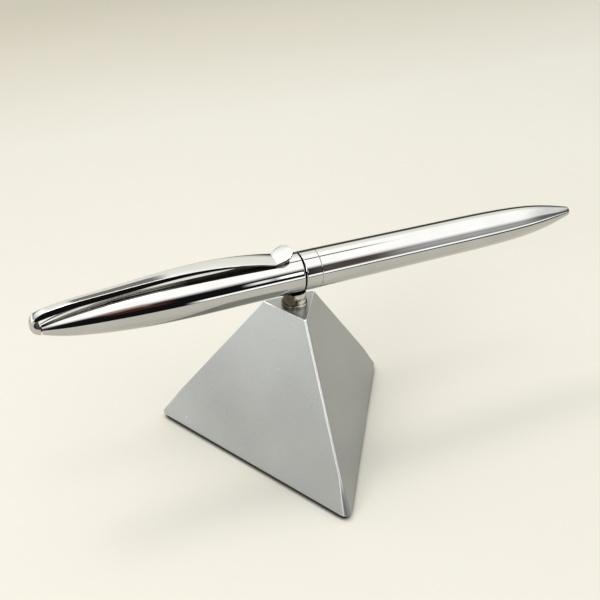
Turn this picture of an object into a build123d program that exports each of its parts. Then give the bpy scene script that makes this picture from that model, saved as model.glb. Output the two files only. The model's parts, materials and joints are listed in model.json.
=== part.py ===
"""Twist ballpoint pen balanced on the magnetic post of a three-sided pyramid stand.

Millimetres. The origin is on the post's axis, on the surface that the stand's pad rests on.
+Z is up and +X runs along the pen, towards its writing tip.
"""
import os
from math import cos, pi, radians, sin, sqrt

from build123d import *

os.makedirs("parts", exist_ok=True)

# Fits
slip_fit = 0.02           # radial, between pieces that are pressed or screwed together
running_fit = 0.05        # radial, between pieces that turn or slide on each other
play = 0.1                # end play of the pieces that turn or slide

# Stand: a hollow three-sided pyramid with a flat top
base_edge = 65.0          # edge of the foot triangle, measured to its sharp corners
apex_height = 49.3        # where the ridges would meet, above the foot
facet_height = 38.8       # flat top, above the foot
ridge_round = 0.45
foot_corner_round = 1.5   # the ridges widen to this at the foot
ridge_foot_height = 8.0   # where a ridge starts to widen, above the foot
foot_edge_round = 0.5
facet_edge_round = 0.35
stand_turn = -2.4         # degrees that the stand is turned under the pen
shell_wall = 2.6          # measured level, square to a face
rim_wall = 1.6            # what is left of that wall round the plate
cavity_height = 29.0      # roof of the hollow, above the foot
cavity_corner_round = 1.5
boss_radius = 3.2
screw_circle = 20.0       # distance of each plate screw from the post's axis

# Plate, screws and pad under the stand
plate_thickness = 3.0
plate_gap = 0.15
pad_thickness = 1.0
pad_inset = 0.7
screw_radius = 1.5
screw_head_radius = 2.8
screw_length = 9.0
screw_clearance = 0.2
pilot_spare = 1.0         # how much deeper the pilot hole is than the screw

# Magnetic post
post_radius = 2.85
post_height = 4.05        # above the flat top
collar_ledge = 0.3        # how far the collar stands out round the post
collar_height = 1.1
collar_round = 0.2
post_edge_round = 0.15
magnet_radius = 2.3
magnet_thickness = 2.5
stud_radius = 1.5
stud_clearance = 0.1
stud_spare = 1.0          # how far the stud comes out of its nut
washer_radius = 3.5
washer_thickness = 0.5
nut_across_flats = 5.5
nut_height = 2.4

# Pen: upper half, from the seam back to the tail, as distances from the seam and radii
pen_rest_gap = 0.1        # between the pen and the face of the post
seam_x = 0.95             # front end of the upper barrel
barrel_wall = 0.7
seam_radius = 4.84
saddle_length = 7.5       # straight stretch that lies on the post and under the clip's end
belly_back = 20.5
belly_radius = 4.99
shoulder_back = 40.0
shoulder_radius = 4.63
neck_back = 51.0
neck_radius = 3.52
upper_length = 61.0
tail_radius = 1.25
seam_round = 0.2

# Pen: centre band and front half, as distances from the band's front end and radii
seam_gap = 0.4
band_length = 4.05
band_spigot_length = 2.6
band_joint_chamfer = 0.12
front_rear_radius = 4.82
front_bore_radius = 3.95
front_bore_length = 15.0
front_taper = 0.3         # degrees, where the front half starts
waist_ahead = 34.0
waist_radius = 4.61
ogive_ahead = 52.0
ogive_radius = 4.34
point_ahead = 62.6
point_radius = 3.5
front_length = 73.7
nose_radius = 1.25        # where the rounded end starts
nose_round_length = 0.65
nose_bore_radius = 0.75
nose_bore_length = 2.0

# Clip: a hook round the tail that runs on as an arched strip and ends in an upturned tab
clip_roll = 6.0           # degrees that the upper half is rolled towards the front of the stand
hood_radius = 3.0         # outside of the hook
hood_lift = 1.65          # centre of the hook above the pen's axis
hood_rim_gap = 0.25       # between the tail and the hook's rim
hood_cap_height = 1.25    # top of the hook's lower end, which caps the tail
slot_height = 2.15        # of the gap between the cap and the arm
hood_wall = 0.9
rise_ahead = 14.0         # from the tail
rise_thickness = 1.2
rise_clearance = 0.2      # above the shoulder
crown_ahead = 34.0        # from the tail
crown_thickness = 0.8
crown_clearance = 2.05    # above the belly
crease_back = 6.5         # from the seam
crease_thickness = 0.5
crease_clearance = 0.12   # above the barrel
root_width = 2.85
crown_width = 3.8
crease_width = 5.0
tab_tilt = 26.0           # degrees
tab_straight = 1.9
tab_round_length = 2.85
tab_width = 6.0

# Rivet that holds the clip on the tail
rivet_radius = 0.6
rivet_reach = 1.6         # into the clip
rivet_head_radius = 1.9
rivet_head_length = 1.0
rivet_socket_clearance = 0.2

# Coupling bush: pressed into the upper barrel, its journal carries the front half
bush_back = 9.0           # behind the seam
bush_radius = 4.1
journal_radius = 3.55
journal_length = 10.5     # ahead of the seam
ring_wire_radius = 0.42
ring_back = 1.9           # from the journal's front end
cam_socket_depth = 4.0

# Twist mechanism: a cam sleeve turns with the upper half round a guide tube of the front half
guide_radius = 2.3
guide_bore_radius = 1.75
guide_flange_length = 4.0
guide_lip_radius = 2.9
guide_lip_thickness = 0.5
cam_wall = 0.75
cam_length = 30.0
lug_radius = 0.7
lug_reach = 3.05          # from the pen's axis
lug_back = 24.0           # behind the seam, with the point drawn in
cam_slot_clearance = 0.15
refill_travel = 4.5
twist_range = 180.0       # degrees
slider_tail = 2.5         # behind the lugs
slider_nose = 5.5         # ahead of the lugs
slider_socket_depth = 4.0

# Refill
refill_radius = 1.5
refill_bore_radius = 1.15
collar_stem_radius = 1.05
refill_shoulder_length = 2.4
refill_spigot_length = 3.0
point_recess = 0.8        # ball behind the nose, with the point drawn in
ball_radius = 0.4
ball_show = 0.25
tip_cone_length = 1.8
tip_nozzle_length = 6.6
tip_rim = 0.07            # of the cone's end, round the ball
tip_step_length = 2.5
tip_shoulder_length = 0.5

# Heights
foot_z = pad_thickness
seat_z = foot_z + plate_thickness
roof_z = foot_z + cavity_height
facet_z = foot_z + facet_height
post_top_z = facet_z + post_height
pen_z = post_top_z + pen_rest_gap + seam_radius

# Places along the pen
tail_x = seam_x - upper_length
neck_x = seam_x - neck_back
saddle_x = seam_x - saddle_length
band_x = seam_x + seam_gap
front_x = band_x + band_length
nose_x = front_x + front_length
bush_x = seam_x - bush_back
journal_x = seam_x + journal_length
lug_x = seam_x - lug_back
rim_x = tail_x - hood_rim_gap
crease_x = seam_x - crease_back

pen_axis = Axis((0, 0, pen_z), (1, 0, 0))
pen_plane = Plane(origin=(0, 0, pen_z), x_dir=(1, 0, 0), z_dir=(0, -1, 0))
corner_angle = stand_turn - 90


def inradius_at(height):
    """Distance from the post's axis to a face of the pyramid, at a height above the foot."""
    return base_edge * sqrt(3) / 6 * (1 - height / apex_height)


def inset_points(points, wall):
    """Outline points moved in towards the pen's axis by a wall."""
    return [(x, radius - wall) for x, radius in points]


def arc_chain(points, tangent):
    """Arcs through the points, each tangent to the one before, for a smooth turned outline."""
    for start, end in zip(points, points[1:]):
        arc = TangentArc(start, end, tangent=tangent)
        tangent = arc % 1


# Pyramid body: cast shell with a solid top, three screw bosses and a rebate for the plate
with BuildPart() as shell_space:
    for height in (plate_thickness, cavity_height):
        with BuildSketch(Plane.XY.offset(foot_z + height)) as outline:
            RegularPolygon(2 * (inradius_at(height) - shell_wall), 3, rotation=corner_angle)
            fillet(outline.vertices(), cavity_corner_round)
    loft(ruled=True)
    with BuildSketch(Plane.XY.offset(seat_z)):
        with PolarLocations(screw_circle, 3, start_angle=corner_angle):
            Circle(boss_radius)
    extrude(amount=cavity_height, mode=Mode.SUBTRACT)

rebate_inradius = inradius_at(plate_thickness) - rim_wall

with BuildPart() as pyramid_body:
    for height, corner_round in (
        (0, foot_corner_round),
        (ridge_foot_height, ridge_round),
        (facet_height, ridge_round),
    ):
        with BuildSketch(Plane.XY.offset(foot_z + height)) as outline:
            RegularPolygon(2 * inradius_at(height), 3, rotation=corner_angle)
            fillet(outline.vertices(), corner_round)
    loft(ruled=True)
    fillet(pyramid_body.faces().sort_by(Axis.Z)[-1].edges(), facet_edge_round)
    fillet(pyramid_body.faces().sort_by(Axis.Z)[0].edges(), foot_edge_round)
    add(shell_space.part, mode=Mode.SUBTRACT)
    with BuildSketch(Plane.XY.offset(foot_z)) as outline:
        RegularPolygon(2 * rebate_inradius, 3, rotation=corner_angle)
        fillet(outline.vertices(), cavity_corner_round)
    extrude(amount=plate_thickness, mode=Mode.SUBTRACT)
    with BuildSketch(Plane.XY.offset(seat_z)):
        with PolarLocations(screw_circle, 3, start_angle=corner_angle):
            Circle(screw_radius + slip_fit)
    extrude(amount=screw_length - plate_thickness + pilot_spare, mode=Mode.SUBTRACT)
    with BuildSketch(Plane.XY.offset(roof_z)):
        Circle(stud_radius + stud_clearance)
    extrude(amount=facet_height - cavity_height, mode=Mode.SUBTRACT)
pyramid_body.part.label = "pyramid_body"
export_step(pyramid_body.part, "parts/pyramid_body.step")

# Ballast plate: closes the shell, with countersunk holes on its underside
with BuildPart() as ballast_plate:
    with BuildSketch(Plane.XY.offset(foot_z)) as outline:
        RegularPolygon(2 * (rebate_inradius - plate_gap), 3, rotation=corner_angle)
        fillet(outline.vertices(), cavity_corner_round)
    extrude(amount=plate_thickness)
    with Locations(Plane(origin=(0, 0, foot_z), x_dir=(1, 0, 0), z_dir=(0, 0, -1))):
        with PolarLocations(screw_circle, 3, start_angle=-corner_angle):
            CounterSinkHole(
                radius=screw_radius + screw_clearance,
                counter_sink_radius=screw_head_radius + screw_clearance,
                counter_sink_angle=90,
            )
ballast_plate.part.label = "ballast_plate"
export_step(ballast_plate.part, "parts/ballast_plate.step")

# Plate screws: flat heads flush with the plate's underside
with BuildPart() as plate_screw:
    with BuildSketch(Plane.XZ):
        with BuildLine():
            Polyline(
                (0, foot_z),
                (screw_head_radius, foot_z),
                (screw_radius, foot_z + screw_head_radius - screw_radius),
                (screw_radius, foot_z + screw_length),
                (0, foot_z + screw_length),
                close=True,
            )
        make_face()
    revolve(axis=Axis.Z)

with BuildPart() as plate_screws:
    with PolarLocations(screw_circle, 3, start_angle=corner_angle):
        add(plate_screw.part)
plate_screws.part.label = "plate_screws"
export_step(plate_screws.part, "parts/plate_screws.step")

# Base pad: thin black sheet that the stand rests on, set in from the foot's edge
with BuildPart() as base_pad:
    with BuildSketch() as outline:
        RegularPolygon(2 * (inradius_at(0) - pad_inset), 3, rotation=corner_angle)
        fillet(outline.vertices(), foot_corner_round)
    extrude(amount=pad_thickness)
base_pad.part.label = "base_pad"
export_step(base_pad.part, "parts/base_pad.step")

# Magnet cup: the post, with a collar at its foot, a cup for the magnet and a stud below
washer_z = roof_z - washer_thickness
nut_z = washer_z - nut_height
cup_floor_z = post_top_z - magnet_thickness - play
collar_radius = post_radius + collar_ledge

with BuildPart() as magnet_cup:
    with BuildSketch(Plane.XZ):
        with BuildLine():
            Polyline(
                (0, nut_z - stud_spare),
                (stud_radius, nut_z - stud_spare),
                (stud_radius, facet_z),
                (collar_radius, facet_z),
                (collar_radius, facet_z + collar_height),
                (post_radius, facet_z + collar_height),
                (post_radius, post_top_z),
                (magnet_radius + running_fit, post_top_z),
                (magnet_radius + running_fit, cup_floor_z),
                (0, cup_floor_z),
                close=True,
            )
        make_face()
    revolve(axis=Axis.Z)
    rims = magnet_cup.edges().filter_by(GeomType.CIRCLE).group_by(Axis.Z)
    fillet(rims[-1].sort_by(SortBy.RADIUS)[-1], post_edge_round)
    collar_rims = magnet_cup.edges().filter_by(GeomType.CIRCLE).sort_by(SortBy.RADIUS)[-2:]
    fillet(collar_rims.sort_by(Axis.Z)[-1], collar_round)
magnet_cup.part.label = "magnet_cup"
export_step(magnet_cup.part, "parts/magnet_cup.step")

# Post magnet: round disc in the cup, just below the cup's rim
with BuildPart() as post_magnet:
    with BuildSketch(Plane.XY.offset(cup_floor_z + play / 2)):
        Circle(magnet_radius)
    extrude(amount=magnet_thickness)
    chamfer(post_magnet.edges().group_by(Axis.Z)[-1], post_edge_round)
post_magnet.part.label = "post_magnet"
export_step(post_magnet.part, "parts/post_magnet.step")

# Washer and nut that draw the post down on the flat top, from inside the shell
with BuildPart() as post_washer:
    with BuildSketch(Plane.XY.offset(washer_z)):
        Circle(washer_radius)
        Circle(stud_radius + stud_clearance, mode=Mode.SUBTRACT)
    extrude(amount=washer_thickness)
post_washer.part.label = "post_washer"
export_step(post_washer.part, "parts/post_washer.step")

with BuildPart() as post_nut:
    with BuildSketch(Plane.XY.offset(nut_z)):
        RegularPolygon(nut_across_flats / 2, 6, major_radius=False)
        Circle(stud_radius + slip_fit, mode=Mode.SUBTRACT)
    extrude(amount=nut_height)
post_nut.part.label = "post_nut"
export_step(post_nut.part, "parts/post_nut.step")

# Upper barrel: thin drawn tube that swells and then runs in to a solid tail
rear_outline = [
    (saddle_x, seam_radius),
    (seam_x - belly_back, belly_radius),
    (seam_x - shoulder_back, shoulder_radius),
    (neck_x, neck_radius),
    (tail_x, tail_radius),
]
rear_bore = inset_points(rear_outline[:-1], barrel_wall)
rivet_hole_radius = rivet_radius + slip_fit

with BuildPart() as upper_barrel:
    with BuildSketch(pen_plane):
        with BuildLine():
            Line((seam_x, seam_radius), rear_outline[0])
            arc_chain(rear_outline, (-1, 0))
            Polyline(rear_outline[-1], (tail_x, rivet_hole_radius), (neck_x, rivet_hole_radius))
            Line((neck_x, rivet_hole_radius), rear_bore[-1])
            arc_chain(rear_bore, (-1, 0))
            Polyline(
                rear_bore[0],
                (seam_x, seam_radius - barrel_wall),
                (seam_x, seam_radius),
            )
        make_face()
    revolve(axis=pen_axis)
    mouth = upper_barrel.edges().filter_by(GeomType.CIRCLE).group_by(Axis.X)[-1]
    fillet(mouth.sort_by(SortBy.RADIUS)[-1], seam_round)
upper_barrel.part.label = "upper_barrel"
export_step(upper_barrel.part, "parts/upper_barrel.step")

# Clip rivet: headed inside the tail, its shank holds the clip's hook
with BuildPart() as clip_rivet:
    with BuildSketch(pen_plane):
        with BuildLine():
            Polyline(
                (rim_x - rivet_reach, 0),
                (rim_x - rivet_reach, rivet_radius),
                (neck_x, rivet_radius),
                (neck_x, rivet_head_radius),
                (neck_x + rivet_head_length, rivet_head_radius),
                (neck_x + rivet_head_length, 0),
                close=True,
            )
        make_face()
    revolve(axis=pen_axis)
clip_rivet.part.label = "clip_rivet"
export_step(clip_rivet.part, "parts/clip_rivet.step")

# Clip: side outline with the hook, cut to its outline from above, which widens to the tab
roll_up = (0, -sin(radians(clip_roll)), cos(radians(clip_roll)))
roll_side = (0, -cos(radians(clip_roll)), -sin(radians(clip_roll)))
clip_side = Plane(origin=(0, 0, pen_z), x_dir=(1, 0, 0), z_dir=roll_side)
clip_plan = Plane(origin=(0, 0, pen_z), x_dir=(1, 0, 0), z_dir=roll_up)

hood_x = rim_x + sqrt(hood_radius**2 - (hood_lift + tail_radius) ** 2)
hood_left = (hood_x - hood_radius, hood_lift)
hood_top = (hood_x, hood_lift + hood_radius)
slot_radius = slot_height / 2
slot_x = hood_x - hood_radius + hood_wall + slot_radius
slot_top = hood_cap_height + slot_height
rise_x = tail_x + rise_ahead
crown_x = tail_x + crown_ahead
rise_under = shoulder_radius + rise_clearance
crown_under = belly_radius + crown_clearance
crease_under = seam_radius + crease_clearance
crease_top = (crease_x, crease_under + crease_thickness)
tab_length = tab_straight + tab_round_length
tab_run = tab_length * cos(radians(tab_tilt))
tab_rise = tab_length * sin(radians(tab_tilt))
tab_skin = crease_thickness / cos(radians(tab_tilt))
tab_end_x = crease_x + tab_run
tab_shoulder_x = crease_x + tab_straight * cos(radians(tab_tilt))
clip_reach = hood_radius + 2 * crown_under
hood_end = (hood_left[0], 0)
hood_side = (hood_left[0] + root_width / 2, root_width / 2)

with BuildPart() as clip:
    with BuildSketch(clip_side.offset(-tab_width)):
        with BuildLine():
            ThreePointArc((rim_x, -tail_radius), hood_left, hood_top)
            Spline(
                hood_top,
                (rise_x, rise_under + rise_thickness),
                (crown_x, crown_under + crown_thickness),
                crease_top,
                tangents=[(1, 0), (1, -0.24)],
            )
            Polyline(
                crease_top,
                (tab_end_x, crease_top[1] + tab_rise),
                (tab_end_x, crease_top[1] + tab_rise - tab_skin),
                (crease_x, crease_under),
            )
            Spline(
                (crease_x, crease_under),
                (crown_x, crown_under),
                (rise_x, rise_under),
                (slot_x, slot_top),
                tangents=[(-1, 0.24), (-1, 0)],
            )
            ThreePointArc(
                (slot_x, slot_top),
                (slot_x - slot_radius, slot_top - slot_radius),
                (slot_x, hood_cap_height),
            )
            Polyline((slot_x, hood_cap_height), (rim_x, hood_cap_height), (rim_x, -tail_radius))
        make_face()
    extrude(amount=2 * tab_width)
    with BuildSketch(clip_plan.offset(-hood_radius)):
        with BuildLine():
            RadiusArc(hood_end, hood_side, root_width / 2)
            Spline(
                hood_side,
                (crown_x, crown_width / 2),
                (crease_x, crease_width / 2),
            )
            Line((crease_x, crease_width / 2), (tab_shoulder_x, tab_width / 2))
            EllipticalCenterArc(
                (tab_shoulder_x, 0), tab_end_x - tab_shoulder_x, tab_width / 2, 0, arc_size=90
            )
            mirror(about=Plane.XZ)
        make_face()
    extrude(amount=clip_reach, mode=Mode.INTERSECT)
    with BuildSketch(Plane(origin=(rim_x, 0, pen_z), x_dir=(0, 1, 0), z_dir=(-1, 0, 0))):
        Circle(rivet_radius + rivet_socket_clearance)
    extrude(amount=rivet_reach + rivet_socket_clearance, mode=Mode.SUBTRACT)
clip.part.label = "clip"
export_step(clip.part, "parts/clip.step")

# Coupling bush: steel, pressed into the upper barrel; the post's magnet draws it down
cam_radius = guide_radius + 2 * running_fit + cam_wall
cam_socket_x = bush_x + cam_socket_depth
ring_x = journal_x - ring_back
ring_radius = front_bore_radius - running_fit - ring_wire_radius
groove_radius = ring_radius - ring_wire_radius - slip_fit
groove_half = ring_wire_radius + running_fit

with BuildPart() as coupling_bush:
    with BuildSketch(pen_plane):
        with BuildLine():
            Polyline(
                (bush_x, cam_radius + slip_fit),
                (bush_x, bush_radius),
                (seam_x, bush_radius),
                (seam_x, journal_radius),
                (ring_x - groove_half, journal_radius),
                (ring_x - groove_half, groove_radius),
                (ring_x + groove_half, groove_radius),
                (ring_x + groove_half, journal_radius),
                (journal_x, journal_radius),
                (journal_x, guide_radius + running_fit),
                (cam_socket_x, guide_radius + running_fit),
                (cam_socket_x, cam_radius + slip_fit),
                close=True,
            )
        make_face()
    revolve(axis=pen_axis)
coupling_bush.part.label = "coupling_bush"
export_step(coupling_bush.part, "parts/coupling_bush.step")

# Friction ring: rubber ring in the journal's groove that gives the twist its drag
with BuildPart() as friction_ring:
    with BuildSketch(pen_plane):
        with Locations((ring_x, ring_radius)):
            Circle(ring_wire_radius)
    revolve(axis=pen_axis)
friction_ring.part.label = "friction_ring"
export_step(friction_ring.part, "parts/friction_ring.step")

# Cam sleeve: seated in the bush, with two helical slots half a turn apart for the slider's lugs
cam_x = cam_socket_x - cam_length
lead = refill_travel * 360 / twist_range
slot_half = lug_radius + cam_slot_clearance
cam_mid_radius = cam_radius - cam_wall / 2
slot_slope = sqrt((2 * pi * cam_mid_radius) ** 2 + lead**2) / (2 * pi * cam_mid_radius)

with BuildPart() as cam_slot:
    with BuildLine() as slot_path:
        Helix(
            pitch=lead,
            height=refill_travel,
            radius=cam_mid_radius,
            center=(lug_x, 0, pen_z),
            direction=(1, 0, 0),
            lefthand=True,
        )
    start = slot_path.line @ 0
    radial = start - Vector(start.X, 0, pen_z)
    across = Vector(1, 0, 0).cross(radial)
    with BuildSketch(Plane(origin=start, x_dir=radial, z_dir=across)):
        Rectangle(2 * cam_wall, 2 * slot_half * slot_slope)
    sweep(path=slot_path.line, is_frenet=True)
    for end in (slot_path.line @ 0, slot_path.line @ 1):
        with BuildSketch(Plane(origin=end, z_dir=end - Vector(end.X, 0, pen_z))):
            Circle(slot_half)
        extrude(amount=cam_wall, both=True)

with BuildPart() as cam_sleeve:
    with BuildSketch(Plane(origin=(cam_x, 0, pen_z), x_dir=(0, 1, 0), z_dir=(1, 0, 0))):
        Circle(cam_radius)
        Circle(cam_radius - cam_wall, mode=Mode.SUBTRACT)
    extrude(amount=cam_length)
    for turn in (0, 180):
        add(cam_slot.part.rotate(pen_axis, turn), mode=Mode.SUBTRACT)
cam_sleeve.part.label = "cam_sleeve"
export_step(cam_sleeve.part, "parts/cam_sleeve.step")

# Guide tube: fixed in the front half, with straight slots for the lugs and a lip behind the cam
flange_x = journal_x + play
guide_front_x = flange_x + guide_flange_length
lip_front_x = cam_x - play
lip_x = lip_front_x - guide_lip_thickness

with BuildPart() as guide_tube:
    with BuildSketch(pen_plane):
        with BuildLine():
            Polyline(
                (lip_x, guide_bore_radius),
                (lip_x, guide_lip_radius),
                (lip_front_x, guide_lip_radius),
                (lip_front_x, guide_radius),
                (flange_x, guide_radius),
                (flange_x, front_bore_radius - slip_fit),
                (guide_front_x, front_bore_radius - slip_fit),
                (guide_front_x, guide_bore_radius),
                close=True,
            )
        make_face()
    revolve(axis=pen_axis)
    with BuildSketch(Plane.XY.offset(pen_z)):
        with Locations((lug_x + refill_travel / 2, 0)):
            SlotCenterToCenter(refill_travel, 2 * (lug_radius + running_fit))
    extrude(amount=guide_lip_radius, both=True, mode=Mode.SUBTRACT)
guide_tube.part.label = "guide_tube"
export_step(guide_tube.part, "parts/guide_tube.step")

# Centre band: chrome ring that turns on the journal, its spigot pressed into the front barrel
spigot_x = front_x + band_spigot_length

with BuildPart() as center_band:
    with BuildSketch(pen_plane):
        with BuildLine():
            Polyline(
                (band_x, journal_radius + running_fit),
                (band_x, seam_radius),
                (front_x, front_rear_radius),
                (front_x, front_bore_radius - slip_fit),
                (spigot_x, front_bore_radius - slip_fit),
                (spigot_x, journal_radius + running_fit),
                close=True,
            )
        make_face()
    revolve(axis=pen_axis)
    band_rims = center_band.edges().filter_by(GeomType.CIRCLE).sort_by(SortBy.RADIUS)[-2:]
    chamfer(band_rims.sort_by(Axis.X)[-1], band_joint_chamfer)
    band_rims = center_band.edges().filter_by(GeomType.CIRCLE).group_by(Axis.X)[0]
    fillet(band_rims.sort_by(SortBy.RADIUS)[-1], seam_round)
center_band.part.label = "center_band"
export_step(center_band.part, "parts/center_band.step")

# Front barrel: gently tapered tube that closes in an ogive to the hole for the point
front_outline = [
    (front_x + band_joint_chamfer, front_rear_radius),
    (front_x + waist_ahead, waist_radius),
    (front_x + ogive_ahead, ogive_radius),
    (front_x + point_ahead, point_radius),
    (nose_x - nose_round_length, nose_radius),
    (nose_x, nose_bore_radius),
]
bore_end = (front_x + front_bore_length, front_bore_radius)
front_cavity = [bore_end, *inset_points(front_outline[1:-2], barrel_wall)]
nose_bore_x = nose_x - nose_bore_length
taper = (cos(radians(front_taper)), -sin(radians(front_taper)))

with BuildPart() as front_barrel:
    with BuildSketch(pen_plane):
        with BuildLine():
            arc_chain(front_outline, taper)
            Polyline(front_outline[-1], (nose_bore_x, nose_bore_radius), front_cavity[-1])
            arc_chain(front_cavity, taper)
            Polyline(
                bore_end,
                (front_x, front_bore_radius),
                (front_x, front_rear_radius - band_joint_chamfer),
                front_outline[0],
            )
        make_face()
    revolve(axis=pen_axis)
front_barrel.part.label = "front_barrel"
export_step(front_barrel.part, "parts/front_barrel.step")

# Slider: moulded carrier in the guide tube; its two lugs reach through both sleeves' slots
slider_x = lug_x - slider_tail
slider_front_x = lug_x + slider_nose
slider_radius = guide_bore_radius - running_fit
socket_x = slider_front_x - slider_socket_depth

with BuildPart() as slider:
    with BuildSketch(pen_plane):
        with BuildLine():
            Polyline(
                (slider_x, 0),
                (slider_x, slider_radius),
                (slider_front_x, slider_radius),
                (slider_front_x, collar_stem_radius + slip_fit),
                (socket_x, collar_stem_radius + slip_fit),
                (socket_x, 0),
                close=True,
            )
        make_face()
    revolve(axis=pen_axis)
    with BuildSketch(Plane.XY.offset(pen_z)):
        with Locations((lug_x, 0)):
            Circle(lug_radius)
    extrude(amount=lug_reach, both=True)
slider.part.label = "slider"
export_step(slider.part, "parts/slider.step")

# Refill collar: screws into the slider and plugs the refill's tube
tube_x = slider_front_x + refill_shoulder_length

with BuildPart() as refill_collar:
    with BuildSketch(pen_plane):
        with BuildLine():
            Polyline(
                (socket_x + play, 0),
                (socket_x + play, collar_stem_radius),
                (slider_front_x, collar_stem_radius),
                (slider_front_x, refill_radius),
                (tube_x, refill_radius),
                (tube_x, refill_bore_radius - slip_fit),
                (tube_x + refill_spigot_length, refill_bore_radius - slip_fit),
                (tube_x + refill_spigot_length, 0),
                close=True,
            )
        make_face()
    revolve(axis=pen_axis)
refill_collar.part.label = "refill_collar"
export_step(refill_collar.part, "parts/refill_collar.step")

# Refill point: spigot in the tube, shoulder, step, nozzle and cone round the ball's socket
ball_x = nose_x - point_recess - ball_radius
cone_x = ball_x + ball_radius - ball_show
nozzle_x = cone_x - tip_cone_length
step_x = nozzle_x - tip_nozzle_length
shoulder_x = step_x - tip_step_length
tube_end_x = shoulder_x - tip_shoulder_length
nozzle_radius = nose_bore_radius - running_fit
socket_radius = ball_radius + slip_fit
cone_end_radius = sqrt(socket_radius**2 - (cone_x - ball_x) ** 2) + tip_rim

with BuildPart() as refill_tip:
    with BuildSketch(pen_plane):
        with BuildLine():
            Polyline(
                (tube_end_x - refill_spigot_length, 0),
                (tube_end_x - refill_spigot_length, refill_bore_radius - slip_fit),
                (tube_end_x, refill_bore_radius - slip_fit),
                (tube_end_x, refill_radius),
                (shoulder_x, refill_radius),
                (step_x, nozzle_radius),
                (nozzle_x, nozzle_radius),
                (cone_x, cone_end_radius),
                (cone_x, 0),
                close=True,
            )
        make_face()
    revolve(axis=pen_axis)
    with Locations((ball_x, 0, pen_z)):
        Sphere(socket_radius, mode=Mode.SUBTRACT)
refill_tip.part.label = "refill_tip"
export_step(refill_tip.part, "parts/refill_tip.step")

with BuildPart() as refill_ball:
    with Locations((ball_x, 0, pen_z)):
        Sphere(ball_radius)
refill_ball.part.label = "refill_ball"
export_step(refill_ball.part, "parts/refill_ball.step")

# Refill tube: holds the ink between the collar and the point
with BuildPart() as refill_tube:
    with BuildSketch(Plane(origin=(tube_x, 0, pen_z), x_dir=(0, 1, 0), z_dir=(1, 0, 0))):
        Circle(refill_radius)
        Circle(refill_bore_radius, mode=Mode.SUBTRACT)
    extrude(amount=tube_end_x - tube_x)
refill_tube.part.label = "refill_tube"
export_step(refill_tube.part, "parts/refill_tube.step")
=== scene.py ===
"""Looks of the pen stand: chrome twist pen on a magnetic post, on a lacquered three-sided pyramid."""
import json
import math

import bmesh
import bpy
import numpy as np
from mathutils import Matrix, Vector


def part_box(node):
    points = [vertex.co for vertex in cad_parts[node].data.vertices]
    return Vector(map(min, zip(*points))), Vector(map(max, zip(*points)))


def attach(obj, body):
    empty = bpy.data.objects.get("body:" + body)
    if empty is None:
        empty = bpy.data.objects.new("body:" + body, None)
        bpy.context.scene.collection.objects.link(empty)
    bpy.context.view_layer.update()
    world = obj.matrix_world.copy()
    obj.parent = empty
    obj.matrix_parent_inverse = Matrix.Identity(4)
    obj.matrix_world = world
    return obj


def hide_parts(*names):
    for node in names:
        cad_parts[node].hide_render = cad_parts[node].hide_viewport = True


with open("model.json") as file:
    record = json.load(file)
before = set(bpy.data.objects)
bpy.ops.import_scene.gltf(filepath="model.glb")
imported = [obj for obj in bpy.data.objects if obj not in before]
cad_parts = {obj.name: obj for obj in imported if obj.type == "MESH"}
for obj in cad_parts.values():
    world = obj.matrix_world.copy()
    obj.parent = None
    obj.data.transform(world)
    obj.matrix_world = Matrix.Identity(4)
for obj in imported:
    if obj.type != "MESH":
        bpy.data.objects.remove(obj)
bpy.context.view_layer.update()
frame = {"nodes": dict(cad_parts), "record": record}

MM = 0.001

# Places read from the frame, in millimetres
tail_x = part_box("upper_barrel")[0].x / MM
seam_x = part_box("upper_barrel")[1].x / MM
pen_z = (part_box("upper_barrel")[0].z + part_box("upper_barrel")[1].z) / 2 / MM
band_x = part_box("center_band")[0].x / MM
front_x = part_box("front_barrel")[0].x / MM
nose_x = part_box("front_barrel")[1].x / MM
hood_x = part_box("clip")[0].x / MM
foot_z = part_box("pyramid_body")[0].z / MM
facet_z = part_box("pyramid_body")[1].z / MM
post_top_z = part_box("magnet_cup")[1].z / MM
stud_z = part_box("magnet_cup")[0].z / MM
magnet_low_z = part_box("post_magnet")[0].z / MM
magnet_top_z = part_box("post_magnet")[1].z / MM

# Pen sizes: radii, at places measured back from the seam or ahead of the joint line
barrel_wall = 0.7
seam_radius = 4.84
seam_round = 0.2
saddle_length = 7.5
saddle_rings = (0.4, 2.8, 5.2)
belly_back, belly_radius = 20.5, 4.99
shoulder_back, shoulder_radius = 40.0, 4.63
neck_back, neck_radius = 51.0, 3.52
tail_radius = 1.25
tail_slope = 0.37
rivet_hole_radius = 0.62
band_bore_radius = 3.6
band_round = 0.2
band_land = 0.4
joint_chamfer = 0.12
front_rear_radius = 4.82
front_rear_slope = -0.005
front_bore_radius = 3.95
front_bore_length = 15.0
waist_ahead, waist_radius = 34.0, 4.61
ogive_ahead, ogive_radius = 52.0, 4.34
point_ahead, point_radius = 62.6, 3.5
nose_radius = 1.25
nose_slope = -0.28
nose_round_length = 0.65
nose_ball_radius = 1.095
nose_ball_back, nose_ball_height = 0.945, 0.195
nose_ball_start, nose_ball_end = 74, 30.5
nose_bore_radius = 0.75
nose_bore_length = 2.0
nose_solid_length = 12.0

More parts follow.
